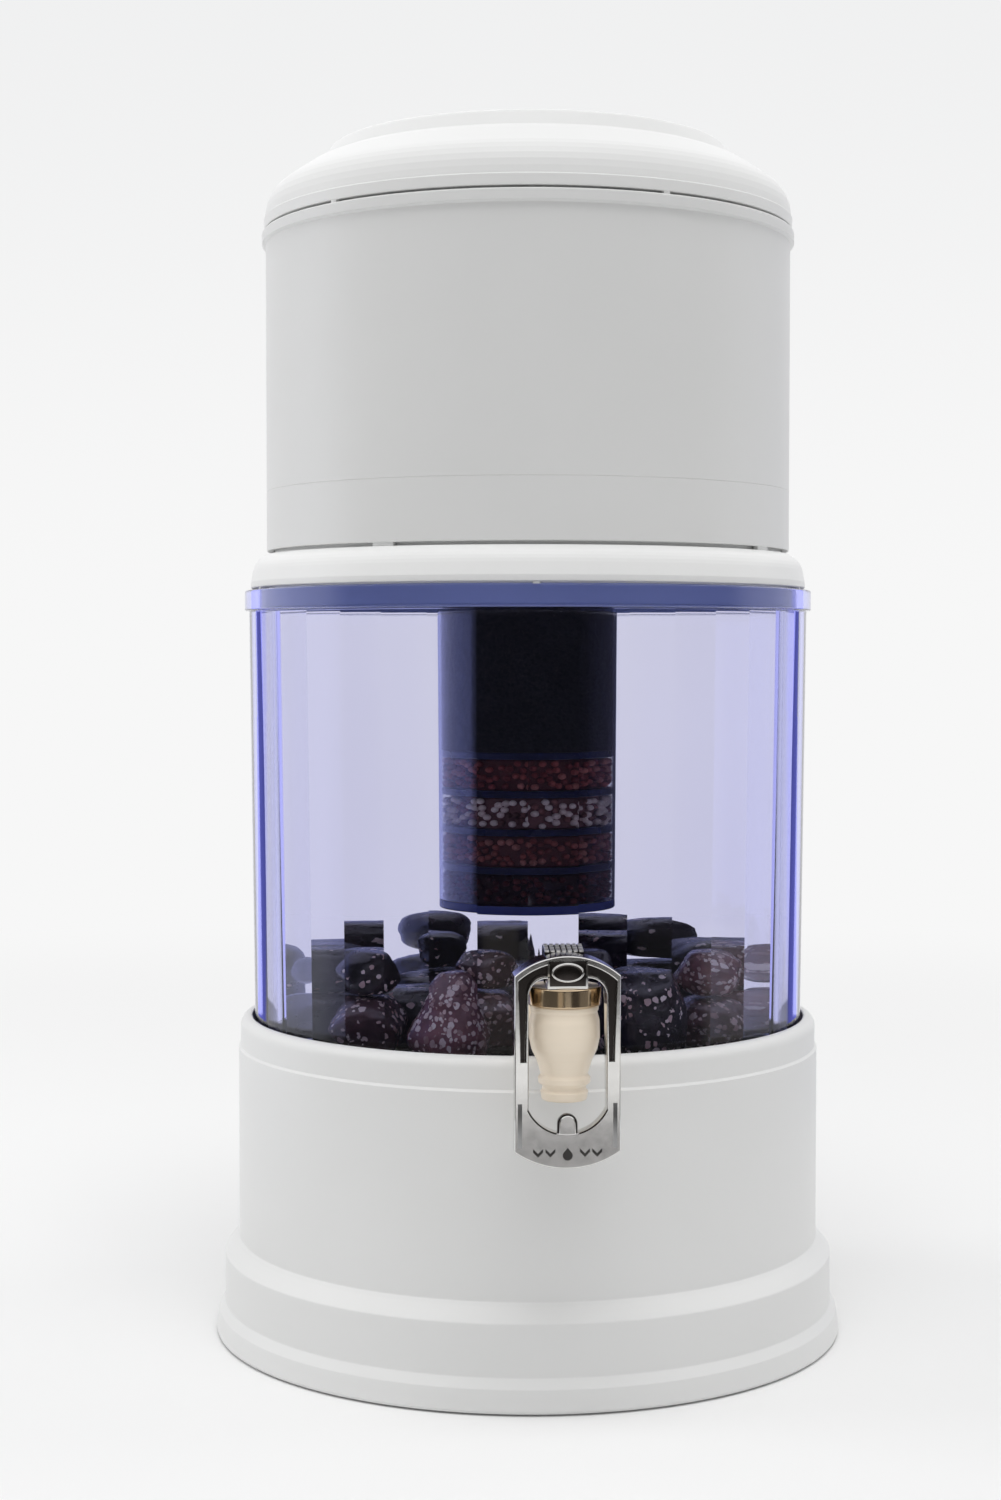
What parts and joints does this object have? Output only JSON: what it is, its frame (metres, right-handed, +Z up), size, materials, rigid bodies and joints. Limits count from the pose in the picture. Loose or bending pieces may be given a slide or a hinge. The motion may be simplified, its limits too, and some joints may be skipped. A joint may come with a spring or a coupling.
{
  "type": "gravity water filter with tap",
  "caption": "Countertop gravity water filter: white upper tank and lid, hanging mineral cartridge, clear blue faceted tank with stones, lever tap and hollow base.",
  "frame": {"origin": "on the axis of the tanks, at floor level", "axes": "+Z up the axis of the tanks; the tap faces -Y; +X is to the right of the tap as seen from in front"},
  "size_m": [0.28, 0.3143, 0.527],
  "materials": {
    "white_plastic": "satin moulded plastic",
    "clear_blue_plastic": "clear polished plastic with a light blue tint",
    "clear_plastic": "clear polished plastic",
    "blue_plastic": "glossy plastic",
    "ivory_plastic": "glossy plastic",
    "chrome_plate": "polished plating",
    "steel_wire": "drawn wire",
    "silicone": "matte",
    "black_rubber": "matte",
    "ceramic": "matte fired ceramic",
    "stone": "broken stone, dark with pale specks",
    "carbon": "granular",
    "red_balls": "fired clay balls",
    "white_balls": "fired clay balls",
    "brown_balls": "fired clay balls",
    "maroon_balls": "fired clay balls"
  },
  "bodies": {
    "base": {"base_stand": "white_plastic", "rubber_ring": "black_rubber"},
    "lower_tank": {"clear_tank": "clear_blue_plastic", "mineral_stones": "stone", "tap_body": "ivory_plastic", "tap_cap": "chrome_plate", "tap_outer_gasket": "silicone", "tap_inner_gasket": "silicone", "tap_nut": "white_plastic"},
    "collar": {"collar_ring": "white_plastic"},
    "upper": {"upper_tank": "white_plastic", "ceramic_dome": "ceramic", "dome_base": "blue_plastic", "dome_washer": "silicone", "stem_nut": "white_plastic", "cartridge_cap": "blue_plastic", "cap_seal": "silicone", "cartridge_shell": "clear_plastic", "carbon_fill": "carbon", "red_ball_layer": "red_balls", "white_ball_layer": "white_balls", "brown_ball_layer": "brown_balls", "maroon_ball_layer": "maroon_balls", "separator_discs": "blue_plastic", "cartridge_outlet": "blue_plastic"},
    "lid": {"lid": "white_plastic"},
    "valve": {"valve_stem": "ivory_plastic", "valve_seal": "silicone", "tap_spring": "steel_wire"},
    "lever": {"tap_lever": "chrome_plate", "lever_pin": "steel_wire"}
  },
  "joints": [
    {"name": "tank_lift", "type": "slide", "parent": "base", "child": "lower_tank", "axis": [0, 0, 1], "range_m": [0, 0.05]},
    {"name": "collar_lift", "type": "slide", "parent": "lower_tank", "child": "collar", "axis": [0, 0, 1], "range_m": [0, 0.03]},
    {"name": "upper_lift", "type": "slide", "parent": "collar", "child": "upper", "axis": [0, 0, 1], "range_m": [0, 0.18]},
    {"name": "lid_lift", "type": "slide", "parent": "upper", "child": "lid", "axis": [0, 0, 1], "range_m": [0, 0.06]},
    {"name": "valve_lift", "type": "slide", "parent": "lower_tank", "child": "valve", "axis": [0, 0, 1], "range_m": [0, 0.00252], "stiffness_N_per_m": 900, "springref_m": -0.004, "deforming": ["tap_spring"]},
    {"name": "lever_push", "type": "hinge", "parent": "valve", "child": "lever", "pos_m": [0, -0.16002, 0.1805], "axis": [1, 0, 0], "range_deg": [0, 12]}
  ],
  "couplings": [
    {"joint": "valve_lift", "follows": "lever_push", "m_per_rad": 0.012}
  ]
}
